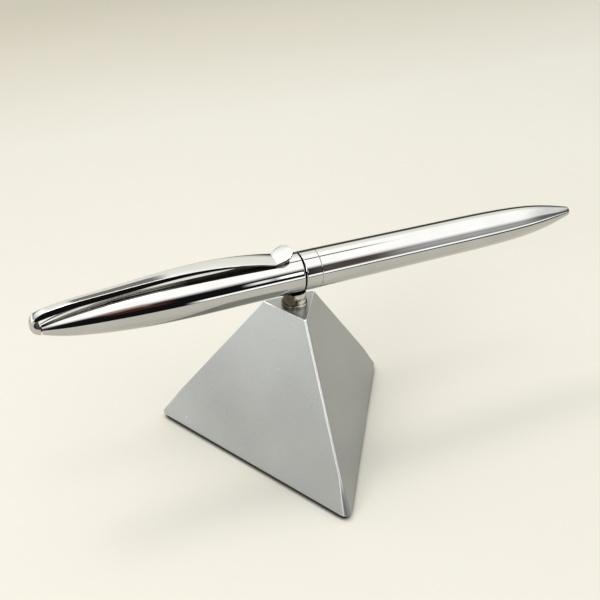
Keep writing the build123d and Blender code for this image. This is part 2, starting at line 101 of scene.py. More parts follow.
# Clip sizes: heights above the pen's axis, and the hook's arcs in degrees
clip_roll = math.radians(6)
hood_radius = 3.0
hood_lift = 1.65
hood_wall = 0.9
cap_height = 1.25
cap_end = 188
slot_height = 2.15
hook_outer_start, hook_outer_end = 184, 120
hook_inner_start, hook_inner_end = 264, 100
root_top = ((tail_x + 2.6, 5.4), (tail_x + 7.5, 6.07))
root_under = ((tail_x + 2.0, 3.95), (tail_x + 6.0, 4.62))
root_top_slope, root_under_slope = 0.577, 0.176
rise_x, rise_under, rise_top = tail_x + 14, 5.38, 6.58
crown_x, crown_under, crown_top = tail_x + 34, 7.04, 7.84
crease_x, crease_under, crease_top = seam_x - 6.5, 4.96, 5.46
crease_slope = -0.24
root_width, rise_width, crown_width, crease_width = 2.85, 3.05, 3.8, 5.0
crease_widening = 0.07
square_length = 9.0
clip_lean, lean_width_share = 0.42, 1 / 3.4
clip_dome = 0.06
clip_edge_round, edge_width_share = 0.14, 1 / 10
clip_foot_share = 1 / 3
tab_tilt = math.radians(26)
tab_straight = 1.9
tab_round_length = 2.85
tab_width = 6.0
tab_fullness = 2.15
tab_tip_share = 0.00005

# Where painted shade darkens the clip: under its far half, inside its hook, and round the tab's rim
under_fade = 8.0
hook_fade = 3.0
under_level = 0.15
rim_level = 0.7

# Stand sizes
base_edge = 65.0
apex_height = 49.3
ridge_round = 0.45
foot_corner_round = 1.5
tongue_height = 8.0
foot_edge_round = 0.5
facet_edge_round = 0.35
face_hollow = 0.1
flare_height = 4.5
stand_turn = math.radians(-92.4)
shell_wall = 2.6
rim_wall = 1.6
plate_thickness = 3.0
cavity_height = 29.0
cavity_corner_round = 1.5
stud_hole_radius = 1.6
# Strength of the painted highlight along the foot's edge, and how narrow it is along the ridges
foot_highlight = 0.6
ridge_highlight_narrowing = 6

# Post sizes
post_radius = 2.85
collar_radius = 3.15
collar_height = 1.1
collar_round = 0.2
rim_round = 0.15
cup_radius = 2.35
cup_floor_z = magnet_low_z - 0.05
stud_radius = 1.5
magnet_radius = 2.3

# Fineness of the meshes
turned_sides, post_sides = 160, 96
outline_step, clip_step = 0.7, 0.3
lip_steps, rim_steps = 8, 5
cap_steps, hook_steps, tab_steps = 12, 30, 32
clip_foot_steps, clip_side_steps, clip_shoulder_steps, clip_half_top_steps = 5, 5, 7, 12
corner_steps, edge_steps = 12, 6
core_radius = 0.01
weld_distance = 1e-7


def smooth_outline(points, first_slope, last_slope, step=outline_step):
    """Points of a curve with steady curvature through the given points, with set end slopes."""
    x, y = np.array(points, float).T
    gap = np.diff(x)
    rise = np.diff(y) / gap
    count = len(x)
    matrix = np.zeros((count, count))
    right = np.zeros(count)
    matrix[0, 0] = matrix[-1, -1] = 1
    right[0], right[-1] = first_slope, last_slope
    for i in range(1, count - 1):
        matrix[i, i - 1 : i + 2] = 1 / gap[i - 1], 2 / gap[i - 1] + 2 / gap[i], 1 / gap[i]
        right[i] = 3 * (rise[i - 1] / gap[i - 1] + rise[i] / gap[i])
    slope = np.linalg.solve(matrix, right)
    curve = []
    for i in range(count - 1):
        pieces = max(2, math.ceil(abs(gap[i]) / step))
        for t in np.arange(pieces) / pieces:
            bend_in = t * (1 - t) ** 2 * (slope[i] - rise[i]) * gap[i]
            bend_out = t**2 * (1 - t) * (slope[i + 1] - rise[i]) * gap[i]
            curve.append((x[i] + t * gap[i], y[i] + t * rise[i] * gap[i] + bend_in - bend_out))
    return [*curve, (x[-1], y[-1])]


def arc_points(centre, radius, start, end, steps=lip_steps):
    """Points of an arc, with its angles in degrees."""
    angles = [math.radians(start + (end - start) * i / steps) for i in range(steps + 1)]
    return [(centre[0] + radius * math.cos(a), centre[1] + radius * math.sin(a)) for a in angles]


def rounded_corner(before, corner, after, radius, steps):
    """Points of the arc that rounds a corner between two straight runs."""
    corner = Vector(corner)
    back = (Vector(before) - corner).normalized()
    ahead = (Vector(after) - corner).normalized()
    half = back.angle(ahead) / 2
    centre = corner + (back + ahead).normalized() * radius / math.sin(half)
    start = corner + back * radius / math.tan(half) - centre
    end = corner + ahead * radius / math.tan(half) - centre
    turns = [start.slerp(end, i / steps).normalized() for i in range(steps + 1)]
    return [tuple(centre + turn * radius) for turn in turns]


def add_object(name, data):
    holder = bpy.data.objects.new(name, data)
    bpy.context.scene.collection.objects.link(holder)
    return holder


def mesh_piece(name, rings, closed, sharp_degrees=35, painted_shade_and_highlight_shares=None):
    """Skins a row of closed rings of points, in millimetres, into one mesh object.

    The shares of painted shade and highlight, one for each point, mark the painted highlights along
    the lacquer's edges and the painted shade on the clip.
    """
    mesh = bpy.data.meshes.new(name)
    builder = bmesh.new()
    painted_shade_and_highlight = builder.verts.layers.float.new("painted_shade_and_highlight")
    rows = [[builder.verts.new(Vector(p) * MM) for p in ring] for ring in rings]
    if painted_shade_and_highlight_shares:
        for row, shares in zip(rows, painted_shade_and_highlight_shares):
            for vertex, share in zip(row, shares):
                vertex[painted_shade_and_highlight] = share
    pairs = list(zip(rows, rows[1:]))
    if closed:
        pairs.append((rows[-1], rows[0]))
    for lower, upper in pairs:
        for i in range(len(lower)):
            j = (i + 1) % len(lower)
            builder.faces.new((lower[i], lower[j], upper[j], upper[i]))
    if not closed:
        builder.faces.new(rows[0])
        builder.faces.new(rows[-1])
    bmesh.ops.remove_doubles(builder, verts=builder.verts, dist=weld_distance)
    bmesh.ops.recalc_face_normals(builder, faces=builder.faces)
    builder.to_mesh(mesh)
    builder.free()
    mesh.shade_smooth()
    mesh.set_sharp_from_angle(angle=math.radians(sharp_degrees))
    return add_object(name, mesh)


def turned_piece(name, outline, along, sides=turned_sides, closed=True):
    """Turns an outline of (place along the axis, radius) about the pen's or the post's axis."""
    rings = []
    for place, radius in outline:
        ring = []
        for i in range(sides):
            a = 2 * math.pi * i / sides
            if along == "pen":
                ring.append((place, radius * math.cos(a), pen_z + radius * math.sin(a)))
            else:
                ring.append((radius * math.cos(a), radius * math.sin(a), place))
        rings.append(ring)
    return mesh_piece(name, rings, closed)


# Chrome barrels and band
def upper_barrel():
    skin = smooth_outline(
        [
            (seam_x - saddle_length, seam_radius),
            (seam_x - belly_back, belly_radius),
            (seam_x - shoulder_back, shoulder_radius),
            (seam_x - neck_back, neck_radius),
            (tail_x, tail_radius),
        ],
        0,
        tail_slope,
    )
    lip = arc_points((seam_x - seam_round, seam_radius - seam_round), seam_round, 0, 90)
    saddle = [(seam_x - back, seam_radius) for back in saddle_rings]
    bore = [(x, radius - barrel_wall) for x, radius in skin if x > seam_x - neck_back]
    hollow_end = [(bore[-1][0], rivet_hole_radius), (tail_x, rivet_hole_radius)]
    outline = [*lip, *saddle, *skin, *reversed(hollow_end), *reversed(bore), (seam_x, bore[0][1])]
    return turned_piece("upper_barrel_skin", outline, "pen")


def center_band():
    lip = arc_points((band_x + band_round, seam_radius - band_round), band_round, 180, 90)
    joint = [
        (band_x + band_land, seam_radius),
        (front_x - band_land, front_rear_radius),
        (front_x - joint_chamfer, front_rear_radius),
        (front_x, front_rear_radius - joint_chamfer),
    ]
    bore = [(front_x, band_bore_radius), (band_x, band_bore_radius)]
    return turned_piece("center_band_ring", [*lip, *joint, *bore], "pen")


def front_barrel():
    skin = smooth_outline(
        [
            (front_x + joint_chamfer, front_rear_radius),
            (front_x + waist_ahead, waist_radius),
            (front_x + ogive_ahead, ogive_radius),
            (front_x + point_ahead, point_radius),
            (nose_x - nose_round_length, nose_radius),
        ],
        front_rear_slope,
        nose_slope,
    )
    nose_centre = (nose_x - nose_ball_back, nose_ball_height)
    nose = arc_points(nose_centre, nose_ball_radius, nose_ball_start, nose_ball_end)
    bore_end = front_x + front_bore_length
    hollow_end = nose_x - nose_solid_length
    hollow = [(x, radius - barrel_wall) for x, radius in skin if bore_end < x < hollow_end]
    outline = [
        (front_x, front_rear_radius - joint_chamfer),
        *skin,
        *nose,
        (nose_x, nose_bore_radius),
        (nose_x - nose_bore_length, nose_bore_radius),
        *reversed(hollow),
        (bore_end, front_bore_radius),
        (front_x, front_bore_radius),
    ]
    return turned_piece("front_barrel_skin", outline, "pen")


# Clip: a strip between two rails, hooked round the tail, with sides that lean in
def clip_place(x, height, side):
    """Point of the clip, rolled with the upper half of the pen."""
    y = -math.sin(clip_roll) * height - math.cos(clip_roll) * side
    z = math.cos(clip_roll) * height - math.sin(clip_roll) * side
    return (x, y, pen_z + z)


def hook_rails():
    """Outer and inner rails of the hook, from its rim under the tail to the start of the arm."""
    centre = (hood_x + hood_radius, hood_lift)
    rim_angle = 180 + math.degrees(math.asin((hood_lift + tail_radius) / hood_radius))
    rim_x = centre[0] - hood_radius * math.cos(math.radians(rim_angle - 180))
    slot_radius = slot_height / 2
    slot_centre = (hood_x + hood_wall + slot_radius, cap_height + slot_radius)
    cap_run = slot_centre[0] - rim_x
    outer = [
        *arc_points(centre, hood_radius, rim_angle, cap_end, cap_steps),
        *arc_points(centre, hood_radius, hook_outer_start, hook_outer_end, hook_steps),
    ]
    inner = [
        *[(rim_x + cap_run * i / cap_steps, cap_height) for i in range(cap_steps + 1)],
        *arc_points(slot_centre, slot_radius, hook_inner_start, hook_inner_end, hook_steps),
    ]
    return outer, inner


def clip_stations():
    """Stations along the clip, from the hook's rim to the tab: (outer, inner, width, past crease)."""
    hook_outer, hook_inner = hook_rails()
    stations = [(outer, inner, root_width, 0) for outer, inner in zip(hook_outer, hook_inner)]

    top = smooth_outline(
        [
            hook_outer[-1],
            *root_top,
            (rise_x, rise_top),
            (crown_x, crown_top),
            (crease_x, crease_top),
        ],
        root_top_slope,
        crease_slope,
        clip_step,
    )
    under = smooth_outline(
        [
            hook_inner[-1],
            *root_under,
            (rise_x, rise_under),
            (crown_x, crown_under),
            (crease_x, crease_under),
        ],
        root_under_slope,
        crease_slope,
        clip_step,
    )
    widths = smooth_outline(
        [(hood_x, root_width), (rise_x, rise_width), (crown_x, crown_width), (crease_x, crease_width)],
        0,
        crease_widening,
    )
    for x, height in top[1:]:
        past_hook = min(1, (x - hook_outer[-1][0]) / square_length)
        inner_x = x + (hook_inner[-1][0] - hook_outer[-1][0]) * (1 - past_hook) ** 2
        inner = (inner_x, float(np.interp(inner_x, *np.array(under).T)))
        width = float(np.interp(x, *np.array(widths).T))
        stations.append(((x, height), inner, width, 0))

    thickness = crease_top - crease_under
    for i in range(1, tab_steps + 1):
        past_crease = math.sin(math.pi / 2 * i / tab_steps)
        run = (tab_straight + tab_round_length) * past_crease
        if run < tab_straight:
            width = crease_width + (tab_width - crease_width) * run / tab_straight
        else:
            past_straight = (run - tab_straight) / tab_round_length
            left_over = max(tab_tip_share, 1 - past_straight**tab_fullness)
            width = tab_width * left_over ** (1 / tab_fullness)
        x = crease_x + run * math.cos(tab_tilt)
        height = crease_top + run * math.sin(tab_tilt)
        inner = (x + thickness * math.sin(tab_tilt), height - thickness * math.cos(tab_tilt))
        stations.append(((x, height), inner, width, past_crease))
    return stations


def clip_section(width, thickness, slant):
    """Section across the clip: leaning sides, soft edges and a slightly domed top."""
    edge = min(clip_edge_round, width * edge_width_share)
    lean = min(slant * thickness, width * lean_width_share)
    half_top = width / 2 - lean
    dome = clip_dome * half_top
    low, high = (width / 2, 0), (half_top, thickness - dome)
    foot = rounded_corner((0, 0), low, high, edge * clip_foot_share, clip_foot_steps)
    shoulder = rounded_corner(low, high, (0, thickness + dome), edge, clip_shoulder_steps)
    side = []
    for i in range(1, clip_side_steps):
        side.append(tuple(Vector(foot[-1]).lerp(Vector(shoulder[0]), i / clip_side_steps)))
    right = [*foot, *side, *shoulder]
    inner_top = shoulder[-1][0]
    top = []
    for i in range(1, 2 * clip_half_top_steps):
        across = inner_top * (1 - i / clip_half_top_steps)
        top.append((across, shoulder[-1][1] + dome * (1 - (across / inner_top) ** 2)))
    left = [(-across, height) for across, height in reversed(right)]
    return [*right, *top, *left]


def clip_bar():
    rings = []
    shares = []
    for outer, inner, width, past_crease in clip_stations():
        upward = Vector(outer) - Vector(inner)
        # Painted shade fades in under the clip's far half and inside the hook
        into_far_half = (inner[0] - crown_x) / under_fade + 1
        into_hook = (tail_x - inner[0]) / hook_fade + 1
        under_share = min(1, max(0, into_far_half, into_hook))
        ring = []
        painted_shade_share = []
        for across, height in clip_section(width, upward.length, clip_lean * (1 - past_crease**2)):
            x, rise = Vector(inner) + upward.normalized() * height
            ring.append(clip_place(x, rise, across))
            level = height / upward.length
            # On the tab, painted shade round its rim; elsewhere, on the clip's underside
            if past_crease > 0:
                painted_shade_share.append(1 if under_level < level < rim_level else 0)
            else:
                painted_shade_share.append(under_share if level < under_level else 0)
        rings.append(ring)
        shares.append(painted_shade_share)
    return mesh_piece("spring_clip", rings, closed=False, painted_shade_and_highlight_shares=shares)


# Stand and post
def inradius_at(height):
    """Distance from the post's axis to a face of the pyramid, at a height above the foot."""
    return base_edge * math.sqrt(3) / 6 * (1 - height / apex_height)


def rounded_triangle(inradius, corner_round, z):
    """Ring of a triangle with rounded corners; a circle where both sizes are the same."""
    ring = []
    for corner in range(3):
        towards = stand_turn + corner * 2 * math.pi / 3
        reach = 2 * (inradius - corner_round)
        for i in range(corner_steps + 1):
            a = towards + math.radians(-60 + 120 * i / corner_steps)
            x = reach * math.cos(towards) + corner_round * math.cos(a)
            y = reach * math.sin(towards) + corner_round * math.sin(a)
            ring.append((x, y, z))
    return ring


def pyramid():
    facet_height = facet_z - foot_z
    seat_z = foot_z + plate_thickness
    roof_z = foot_z + cavity_height
    foot = (inradius_at(0), foot_z)
    flare = (inradius_at(flare_height) - face_hollow, foot_z + flare_height)
    edge = (inradius_at(facet_height), facet_z)
    rebate = inradius_at(plate_thickness) - rim_wall
    section = [
        *rounded_corner((rebate, foot_z), foot, flare, foot_edge_round, edge_steps),
        flare,
        (inradius_at(tongue_height) - face_hollow, foot_z + tongue_height),
        *rounded_corner(flare, edge, (stud_hole_radius, facet_z), facet_edge_round, edge_steps),
    ]
    facet_start = len(section) - edge_steps - 1
    rings = []
    shares = []
    # Shares of painted highlight: along the ridges, round the facet's edges and along the foot's edge
    over_ridge = [math.sin(math.pi * i / corner_steps) for i in range(corner_steps + 1)]
    ridge_highlight = [height**ridge_highlight_narrowing for height in over_ridge] * 3
    for i, (inradius, z) in enumerate(section):
        ridge = min(1, max(0, (z - foot_z) / tongue_height))
        corner_round = foot_corner_round + (ridge_round - foot_corner_round) * ridge
        rings.append(rounded_triangle(inradius, corner_round, z))
        past_face = max(0, i - facet_start) / edge_steps
        facet_edge = math.sin(math.pi * past_face) ** 2
        foot_edge = foot_highlight * math.sin(math.pi * min(i, edge_steps) / edge_steps)
        along_ridge = ridge**3 * (1 - past_face)
        shares.append([max(along_ridge * ridge_highlight_share, facet_edge, foot_edge) for ridge_highlight_share in ridge_highlight])
    rings += [
        rounded_triangle(stud_hole_radius, stud_hole_radius, facet_z),
        rounded_triangle(stud_hole_radius, stud_hole_radius, roof_z),
        rounded_triangle(inradius_at(cavity_height) - shell_wall, cavity_corner_round, roof_z),
        rounded_triangle(inradius_at(plate_thickness) - shell_wall, cavity_corner_round, seat_z),
        rounded_triangle(rebate, cavity_corner_round, seat_z),
        rounded_triangle(rebate, cavity_corner_round, foot_z),
    ]
    shares += [[0] * len(ridge_highlight)] * (len(rings) - len(shares))
    piece = mesh_piece("lacquered_pyramid", rings, True, sharp_degrees=30, painted_shade_and_highlight_shares=shares)
    flats = piece.modifiers.new("flat_faces", "WEIGHTED_NORMAL")
    flats.keep_sharp = True
    return piece


def rim(top_z, radius, rounding):
    """Rounded upper edge of a piece turned about the post's axis."""
    return arc_points((top_z - rounding, radius - rounding), rounding, 90, 0, rim_steps)


def magnet_cup():
    collar_z = facet_z + collar_height
    outline = [
        (stud_z, core_radius),
        (stud_z, stud_radius),
        (facet_z, stud_radius),
        (facet_z, collar_radius),
        *rim(collar_z, collar_radius, collar_round),
        (collar_z, post_radius),
        *rim(post_top_z, post_radius, rim_round),
        (post_top_z, cup_radius),
        (cup_floor_z, cup_radius),
        (cup_floor_z, core_radius),
    ]
    return turned_piece("post_cup", outline, "post", sides=post_sides, closed=False)


def post_magnet():
    outline = [
        (magnet_low_z, core_radius),
        (magnet_low_z, magnet_radius),
        *rim(magnet_top_z, magnet_radius, rim_round),
        (magnet_top_z, core_radius),
    ]
    return turned_piece("magnet_disc", outline, "post", sides=post_sides, closed=False)


# Shader helpers
def add_node(tree, kind, inputs=None, **settings):
    """Adds a node, sets its options and fills its sockets with values or links."""
    node = tree.nodes.new(kind)
    for name, value in settings.items():
        setattr(node, name, value)
    for name, value in (inputs or {}).items():
        if isinstance(value, bpy.types.NodeSocket):
            tree.links.new(value, node.inputs[name])
        else:
            node.inputs[name].default_value = value
    return node


def rgba(tone):
    """Full colour from a grey or a colour; a link stays as it is."""
    if isinstance(tone, bpy.types.NodeSocket):
        return tone
    if isinstance(tone, (int, float)):
        return (tone, tone, tone, 1)
    return (*tone, 1)


def add_ramp(tree, value, stops):
    """Colour ramp with (place, grey or colour) stops."""
    node = add_node(tree, "ShaderNodeValToRGB", {"Fac": value})
    for place, _ in stops[1:-1]:
        node.color_ramp.elements.new(place)
    for element, (place, tone) in zip(node.color_ramp.elements, stops):
        element.position = place
        element.color = rgba(tone)
    return node.outputs["Color"]


def map_range(tree, value, low, high, to_low=0.0, to_high=1.0, interpolation="LINEAR"):
    limits = {"From Min": low, "From Max": high, "To Min": to_low, "To Max": to_high}
    node = add_node(
        tree, "ShaderNodeMapRange", {"Value": value, **limits}, interpolation_type=interpolation
    )
    return node.outputs["Result"]


def smooth_step(tree, value, low, high):
    return map_range(tree, value, low, high, interpolation="SMOOTHSTEP")


def calculate(tree, operation, first, second):
    node = add_node(tree, "ShaderNodeMath", {0: first, 1: second}, operation=operation)
    return node.outputs[0]


def multiply(tree, *values):
    product = values[0]
    for value in values[1:]:
        product = calculate(tree, "MULTIPLY", product, value)
    return product


def blend(tree, share, first, second, mode="MIX"):
    """Mixes two greys, colours or links."""
    node = add_node(
        tree,
        "ShaderNodeMix",
        {"Factor": share, "A": rgba(first), "B": rgba(second)},
        data_type="RGBA",
        blend_type=mode,
    )
    return node.outputs["Result"]


def new_group(name, vectors, numbers, outputs):
    """Shader node group with vector and number inputs, and numbers as outputs."""
    group = bpy.data.node_groups.new(name, "ShaderNodeTree")
    for socket_name in vectors:
        group.interface.new_socket(socket_name, in_out="INPUT", socket_type="NodeSocketVector")
    for socket_name in numbers:
        group.interface.new_socket(socket_name, in_out="INPUT", socket_type="NodeSocketFloat")
    for socket_name in outputs:
        group.interface.new_socket(socket_name, in_out="OUTPUT", socket_type="NodeSocketFloat")
    entry = group.nodes.new("NodeGroupInput")
    leave = group.nodes.new("NodeGroupOutput")
    return group, entry.outputs, leave.inputs


def place_group(tree, group, inputs):
    return add_node(tree, "ShaderNodeGroup", inputs, node_tree=group).outputs


def polish_group():
    """Fine lines drawn out along one direction, as a polishing wheel leaves them."""
    group, given, result = new_group("polish_lines", ["Place", "Stretch"], [], ["Height", "Tone"])
    drawn = add_node(
        group, "ShaderNodeVectorMath", {0: given["Place"], 1: given["Stretch"]}, operation="MULTIPLY"
    )
    lines = add_node(
        group,
        "ShaderNodeTexNoise",
        {"Vector": drawn.outputs[0], "Scale": 1.0, "Detail": 4.0, "Roughness": 0.6},
    )
    waves = add_node(
        group, "ShaderNodeTexNoise", {"Vector": given["Place"], "Scale": 120.0, "Detail": 2.0}
    )
    tone = multiply(group, lines.outputs["Fac"], waves.outputs["Fac"])
    group.links.new(lines.outputs["Fac"], result["Height"])
    group.links.new(tone, result["Tone"])
    return group


def speck_group():
    """Scattered small spots, each with its own strength, for dust and flakes."""
    group, given, result = new_group(
        "scattered_specks", ["Place"], ["Spacing", "Size", "Share"], ["Mask"]
    )
    cells = add_node(
        group, "ShaderNodeTexVoronoi", {"Vector": given["Place"], "Scale": given["Spacing"]}
    )
    near = calculate(group, "LESS_THAN", cells.outputs["Distance"], given["Size"])
    pick = add_node(group, "ShaderNodeSeparateColor", {"Color": cells.outputs["Color"]})
    chosen = calculate(group, "LESS_THAN", pick.outputs["Red"], given["Share"])
    mask = multiply(group, near, chosen, pick.outputs["Green"])
    group.links.new(mask, result["Mask"])
    return group


def mottle_group():
    """Slow change of tone over a surface."""
    group, given, result = new_group("soft_mottle", ["Place"], ["Scale"], ["Tone"])
    cloud = add_node(
        group,
        "ShaderNodeTexNoise",
        {"Vector": given["Place"], "Scale": given["Scale"], "Detail": 3.0, "Roughness": 0.55},
    )
    group.links.new(cloud.outputs["Fac"], result["Tone"])
    return group


def gap_shade_group():
    """Mask of narrow gaps, for painted shade where light doesn't reach."""
    gap_start, gap_full = 0.65, 0.3
    group, given, result = new_group("painted_gap_shade", [], ["Reach"], ["Mask"])
    openness = add_node(group, "ShaderNodeAmbientOcclusion", {"Distance": given["Reach"]}, samples=8)
    mask = smooth_step(group, openness.outputs["AO"], gap_start, gap_full)
    group.links.new(mask, result["Mask"])
    return group


painted_gap_shade = gap_shade_group()
polish_lines = polish_group()
scattered_specks = speck_group()
soft_mottle = mottle_group()

# Finishes shared by the metals
# Colour and gloss of the painted shade under the clip, inside its hook and round the tab's rim
painted_shade_metal, painted_shade_roughness = (0.06, 0.057, 0.052), 0.4
# Colour of the painted shade in narrow gaps
gap_shade_colour = (0.02, 0.018, 0.015)
line_shade, line_light = 0.1, 0.4
# Grain and edges of the painted reflection on the post
reflection_edge_grain = 620.0
reflection_start, reflection_full = 1.28, 1.48
fine_depth, grain_depth = 0.00002, 0.0001


def new_material(name):
    material = bpy.data.materials.new(name)
    material.use_nodes = True
    tree = material.node_tree
    shader = tree.nodes["Principled BSDF"]
    place = add_node(tree, "ShaderNodeTexCoord").outputs["Object"]
    return material, tree, shader, place


def painted_shade_and_highlight_share(tree):
    return add_node(tree, "ShaderNodeAttribute", attribute_name="painted_shade_and_highlight").outputs["Fac"]


def add_bump(tree, shader, height, strength, distance):
    bump = add_node(
        tree, "ShaderNodeBump", {"Height": height, "Strength": strength, "Distance": distance}
    )
    tree.links.new(bump.outputs["Normal"], shader.inputs["Normal"])


def polished_metal(
    name, dark, light, smooth, rough, stretch, strength=0.2, gap_reach=0.003, painted_reflection=None
):
    """Metal with polishing lines that change its tone, gloss and surface, with painted shade in its
    gaps and where the mesh marks it.

    The painted reflection, a colour and a direction, is a bright patch painted on the side of the post
    that the direction points to. On the direction's own side of the post, its product with the place
    reaches 1.
    """
    material, tree, shader, place = new_material(name)
    lines = place_group(tree, polish_lines, {"Place": place, "Stretch": stretch})
    metal = add_ramp(tree, lines["Tone"], [(line_shade, dark), (line_light, light)])
    # Painted reflection: a bright patch on the side of the post that faces the given direction
    if painted_reflection:
        reflected_tone, towards = painted_reflection
        facing = add_node(tree, "ShaderNodeVectorMath", {0: place, 1: towards}, operation="DOT_PRODUCT")
        cloud = place_group(tree, soft_mottle, {"Place": place, "Scale": reflection_edge_grain})
        ragged = calculate(tree, "ADD", facing.outputs["Value"], cloud["Tone"])
        metal = blend(tree, smooth_step(tree, ragged, reflection_start, reflection_full), metal, reflected_tone)
    # Painted shade where the mesh marks it: under the clip, inside its hook, round the tab's rim
    painted_shade_share = painted_shade_and_highlight_share(tree)
    metal = blend(tree, painted_shade_share, metal, painted_shade_metal)
    # Painted shade: narrow gaps darken to near black
    gap_shading = place_group(tree, painted_gap_shade, {"Reach": gap_reach})
    metal = blend(tree, gap_shading["Mask"], metal, gap_shade_colour)
    tree.links.new(metal, shader.inputs["Base Color"])
    gloss = add_ramp(tree, lines["Tone"], [(line_shade, rough), (line_light, smooth)])
    tree.links.new(blend(tree, painted_shade_share, gloss, painted_shade_roughness), shader.inputs["Roughness"])
    shader.inputs["Metallic"].default_value = 1.0
    add_bump(tree, shader, lines["Height"], strength, fine_depth)
    return material


def lacquer_finish():
    """Satin silver lacquer: fine flake, slow change of tone, stray dust, painted highlights along its
    edges.
    """
    material, tree, shader, place = new_material("satin_silver_lacquer")
    cloud = place_group(tree, soft_mottle, {"Place": place, "Scale": 30.0})
    flake = place_group(
        tree, scattered_specks, {"Place": place, "Spacing": 5200.0, "Size": 0.45, "Share": 0.5}
    )
    dust = place_group(
        tree, scattered_specks, {"Place": place, "Spacing": 420.0, "Size": 0.065, "Share": 0.14}
    )
    # Painted highlight along the ridges, the facet's edges and the foot's edge: lighter colour, rougher
    # gloss
    edge_highlight = painted_shade_and_highlight_share(tree)
    thin, thick = (0.298, 0.308, 0.304), (0.342, 0.352, 0.346)
    paint = add_ramp(tree, cloud["Tone"], [(0.35, thin), (0.65, thick)])
    paint = blend(tree, flake["Mask"], paint, (0.37, 0.378, 0.372))
    paint = blend(tree, edge_highlight, paint, (0.9, 0.9, 0.89))
    paint = blend(tree, dust["Mask"], paint, (0.85, 0.84, 0.8))
    tree.links.new(paint, shader.inputs["Base Color"])
    satin = add_ramp(tree, cloud["Tone"], [(0.3, 0.28), (0.7, 0.32)])
    tree.links.new(blend(tree, edge_highlight, satin, 0.45), shader.inputs["Roughness"])
    shader.inputs["Metallic"].default_value = 0.8
    add_bump(tree, shader, flake["Mask"], 0.1, fine_depth)
    return material


def plain_finish(name, dark, light, rough, grain, strength):
    """Plastic or rubber with a fine moulded grain."""
    material, tree, shader, place = new_material(name)
    cloud = place_group(tree, soft_mottle, {"Place": place, "Scale": grain})
    colour = add_ramp(tree, cloud["Tone"], [(0.3, dark), (0.7, light)])
    gloss = add_ramp(tree, cloud["Tone"], [(0.3, rough), (0.7, rough * 0.8)])
    tree.links.new(colour, shader.inputs["Base Color"])
    tree.links.new(gloss, shader.inputs["Roughness"])
    add_bump(tree, shader, cloud["Tone"], strength, grain_depth)
    return material


# Stretches that draw the polishing lines out along the pen, or level, as they run round the post
along_pen = (60.0, 2600.0, 2600.0)
round_post = (900.0, 900.0, 5200.0)
# Colour and direction of the painted reflection on the post's front right
painted_reflection_tone = (0.62, 0.6, 0.54)
towards_front_right = (95.0, -337.0, 0.0)
finishes = {
    "chrome_plate": polished_metal(
        "mirror_chrome",
        (0.48, 0.477, 0.464),
        (0.53, 0.527, 0.513),
        0.01,
        0.03,
        along_pen,
        strength=0.05,
        gap_reach=0.0008,
    ),
    "silver_lacquer": lacquer_finish(),
    "nickel_plate": polished_metal(
        "dark_nickel",
        (0.04, 0.034, 0.024),
        (0.1, 0.088, 0.066),
        0.06,
        0.12,
        round_post,
        painted_reflection=(painted_reflection_tone, towards_front_right),
    ),
    "magnet_plate": polished_metal(
        "plated_magnet", (0.55, 0.53, 0.5), (0.68, 0.66, 0.62), 0.22, 0.35, round_post
    ),
    "bright_steel": polished_metal(
        "zinc_steel", (0.5, 0.52, 0.55), (0.66, 0.67, 0.68), 0.25, 0.4, along_pen
    ),
    "turned_brass": polished_metal(
        "turned_brass", (0.62, 0.44, 0.18), (0.8, 0.62, 0.32), 0.18, 0.32, round_post
    ),
    "tip_nickel": polished_metal(
        "nickel_silver", (0.62, 0.59, 0.54), (0.78, 0.75, 0.7), 0.15, 0.28, round_post
    ),
    "white_acetal": plain_finish(
        "white_acetal", (0.8, 0.8, 0.77), (0.88, 0.88, 0.86), 0.45, 900.0, 0.1
    ),
    "ring_rubber": plain_finish(
        "black_ring_rubber", (0.015, 0.015, 0.015), (0.03, 0.03, 0.03), 0.6, 1500.0, 0.2
    ),
    "black_pad": plain_finish(
        "black_pad_rubber", (0.012, 0.012, 0.011), (0.028, 0.027, 0.025), 0.85, 2500.0, 0.3
    ),
}

# Dress the frame: the pieces that show are finely made here, the rest keep their solids
made_pieces = [
    (upper_barrel, "upper_barrel", "pen_upper"),
    (center_band, "center_band", "pen_front"),
    (front_barrel, "front_barrel", "pen_front"),
    (clip_bar, "clip", "clip"),
    (pyramid, "pyramid_body", "stand"),
    (magnet_cup, "magnet_cup", "stand"),
    (post_magnet, "post_magnet", "magnet"),
]
slot_of = {row["node"]: row["material_slot"] for row in frame["record"]["subparts"]}
replaced = set()
for make, node, body in made_pieces:
    piece = make()
    piece.data.materials.append(finishes[slot_of[node]])
    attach(piece, body)
    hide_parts(node)
    replaced.add(node)

for node, solid in frame["nodes"].items():
    if node not in replaced:
        solid.data.materials.clear()
        solid.data.materials.append(finishes[slot_of[node]])


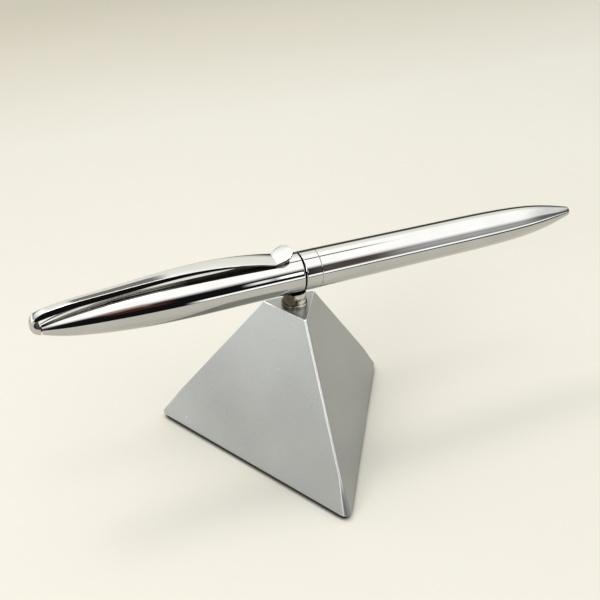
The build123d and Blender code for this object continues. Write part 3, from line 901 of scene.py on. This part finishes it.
# Floor, light and camera, in metres
def floor_finish():
    """Warm white paper, with painted shade that darkens it towards the back and a painted contact
    shadow round the stand's foot.
    """
    material, tree, shader, place = new_material("cream_paper")
    near_y, far_y = 0.05, 0.4
    contact_reach = 0.005
    cloud = place_group(tree, soft_mottle, {"Place": place, "Scale": 6.0})
    parts = add_node(tree, "ShaderNodeSeparateXYZ", {"Vector": place}).outputs
    # Painted shade: the paper darkens towards the back, as the light falls off
    paper_and_painted_shade = add_ramp(
        tree,
        map_range(tree, parts["Y"], near_y, far_y),
        [
            (0, (0.543, 0.528, 0.474)),
            (0.45, (0.513, 0.501, 0.45)),
            (0.8, (0.432, 0.41, 0.342)),
            (1, (0.379, 0.357, 0.293)),
        ],
    )
    tint = add_ramp(tree, cloud["Tone"], [(0.3, (0.98, 0.98, 0.97)), (0.7, (1.0, 1.0, 1.0))])
    paper_and_painted_shade = blend(tree, 1.0, paper_and_painted_shade, tint, "MULTIPLY")
    # Painted contact shadow: the floor darkens to near black where it meets the stand
    under = place_group(tree, painted_gap_shade, {"Reach": contact_reach})
    paper_and_painted_shade = blend(tree, under["Mask"], paper_and_painted_shade, (0.05, 0.045, 0.035))
    tree.links.new(paper_and_painted_shade, shader.inputs["Base Color"])
    shader.inputs["Roughness"].default_value = 0.9
    return material


def make_floor():
    """Table top; its front edge shows as a line in the chrome, out of the picture."""
    left, right, back = -0.6, 1.2, 0.55
    edge_x, edge_y, edge_slope = 0.083, -0.182, 0.62
    corners = [
        (left, edge_y + (left - edge_x) * edge_slope, 0),
        (right, edge_y + (right - edge_x) * edge_slope, 0),
        (right, back, 0),
        (left, back, 0),
    ]
    mesh = bpy.data.meshes.new("table_top")
    mesh.from_pydata(corners, [], [(0, 1, 2, 3)])
    floor = add_object("table_top", mesh)
    mesh.materials.append(floor_finish())


def make_lamp(name, place, size, power, colour):
    """Square lamp that points at the stand."""
    aim = Vector((0, 0, 0.03))
    lamp = bpy.data.lights.new(name, "AREA")
    lamp.size = size
    lamp.energy = power
    lamp.color = colour
    holder = add_object(name, lamp)
    holder.location = place
    holder.rotation_euler = (aim - Vector(place)).to_track_quat("-Z", "Y").to_euler()


def make_world():
    """Bright room round the table: a white ceiling, dark bands low in front and behind.

    A direction is placed by its side, which is how far it leans along the pen, and by its turn about
    the pen's axis, from the front over the top to the back. The chrome barrels spread that turn out.
    """
    world = bpy.data.worlds.new("bright_room")
    bpy.context.scene.world = world
    world.use_nodes = True
    tree = world.node_tree
    towards = add_node(tree, "ShaderNodeTexCoord").outputs["Generated"]
    parts = add_node(tree, "ShaderNodeSeparateXYZ", {"Vector": towards}).outputs
    side = parts["X"]
    turn = calculate(tree, "ARCTAN2", parts["Z"], multiply(tree, parts["Y"], -1.0))
    clutter = add_node(tree, "ShaderNodeTexNoise", {"Vector": towards, "Scale": 9.0, "Detail": 3.0})
    most_stray = math.radians(9)
    stray = map_range(tree, clutter.outputs["Fac"], 0.0, 1.0, -most_stray, most_stray)
    uneven_turn = calculate(tree, "ADD", turn, stray)

    def at(degrees):
        """Place of a turn on the ramps."""
        return (degrees + 180) / 360

    def across(outside, inside):
        """Soft edge by side."""
        return smooth_step(tree, side, outside, inside)

    def around(outside, inside, measure=turn):
        """Soft edge by turn, in degrees."""
        return smooth_step(tree, measure, math.radians(outside), math.radians(inside))

    def lay(under, over, *edges):
        """Lays one tone over another within soft edges."""
        return blend(tree, multiply(tree, *edges), under, over)

    whole_turn = map_range(tree, turn, -math.pi, math.pi)
    ceiling = [
        (at(48), 1.94),
        (at(120), 1.94),
        (at(130), (1.52, 1.51, 1.4)),
        (at(150), (1.4, 1.39, 1.28)),
        (at(157), 0.1),
        (at(179), 0.08),
    ]
    dark_front = add_ramp(
        tree, whole_turn, [(at(-60), 0.1), (at(-12), 0.01), (at(33), 0.012), *ceiling]
    )
    grey_front = add_ramp(
        tree,
        whole_turn,
        [
            (at(-60), 0.1),
            (at(-12), 0.1),
            (at(1), 0.5),
            (at(12), 0.62),
            (at(22), 0.72),
            (at(28), 0.5),
            *ceiling,
        ],
    )
    far_right = add_ramp(
        tree,
        whole_turn,
        [
            (at(-60), 0.1),
            (at(-12), 0.1),
            (at(1), 0.3),
            (at(30), 0.2),
            (at(40), 0.35),
            (at(52), 1.25),
            (at(125), 1.25),
            (at(150), 0.5),
            (at(157), 0.1),
        ],
    )
    room = lay(dark_front, grey_front, across(0.33, 0.5))
    room = lay(room, far_right, across(0.62, 0.8))
    room = lay(room, 0.05, across(0.86, 0.95))

    # Low in front: a white strip, then rust, blush and wine patches with uneven edges, and a gleam
    room = lay(room, 1.9, across(0.2, 0.26), around(-12, -10.5), around(-0.5, -2.5))
    rust_edges = (around(16, 20), around(38, 30, uneven_turn))
    room = lay(room, (0.1, 0.035, 0.025), across(-0.12, -0.02), across(0.19, 0.13), *rust_edges)
    blush_edges = (around(28, 34, uneven_turn), around(50, 40, uneven_turn))
    room = lay(room, (0.6, 0.42, 0.37), across(-0.14, -0.06), across(0.12, 0.04), *blush_edges)
    wine_edges = (around(1, 5, uneven_turn), around(36, 30, uneven_turn))
    room = lay(room, (0.14, 0.1, 0.09), across(0.35, 0.4), across(0.46, 0.42), *wine_edges)
    gleam_edges = (around(11, 15), around(28, 23))
    room = lay(room, 3.2, across(0.312, 0.332), across(0.3475, 0.3445), *gleam_edges)

    # Overhead: a grey patch over the clip's root, white to the left of it, and a dark beam
    shade_edges = (around(118, 121), around(139, 136))
    room = lay(room, (0.36, 0.34, 0.32), across(-0.05, -0.01), across(0.16, 0.1), *shade_edges)
    room = lay(room, (1.96, 1.96, 1.94), across(-0.16, -0.26), around(112, 120), around(150, 143))
    beam_edges = (around(89, 91), around(97, 95))
    room = lay(room, 0.05, across(0.28, 0.32), across(0.46, 0.4), *beam_edges)

    # To the left: a grey wall with a low bright window
    low_window = smooth_step(tree, parts["Z"], 0.3, 0.12)
    wall = blend(tree, low_window, 0.6, (3.8, 3.8, 3.75))
    room = lay(room, wall, across(-0.35, -0.7), around(15, 40))
    tree.links.new(room, tree.nodes["Background"].inputs["Color"])


def make_camera():
    place = Vector((-78.33, -181.63, 171.02)) * MM
    aim = Vector((-1.03, -5.73, 44.6)) * MM
    roll = math.radians(0.27)
    camera = bpy.data.cameras.new("photo_camera")
    camera.sensor_width = 36.0
    camera.lens = 58.44
    camera.clip_start = 0.005
    holder = add_object("photo_camera", camera)
    turn = (aim - place).to_track_quat("-Z", "Y").to_matrix() @ Matrix.Rotation(roll, 3, "Z")
    holder.matrix_world = Matrix.Translation(place) @ turn.to_4x4()
    bpy.context.scene.camera = holder


warm_white, plain_white = (1, 0.97, 0.92), (1, 1, 1)
make_floor()
make_world()
make_lamp("back_lamp", place=(-0.16, 0.3, 0.78), size=0.18, power=1.6, colour=warm_white)
make_lamp("front_lamp", place=(0.0, -0.14, 0.8), size=0.16, power=0.4, colour=warm_white)
make_lamp("left_window", place=(-0.55, -0.35, 0.26), size=0.24, power=1.7, colour=plain_white)
make_camera()
bpy.context.scene.view_settings.view_transform = "Standard"
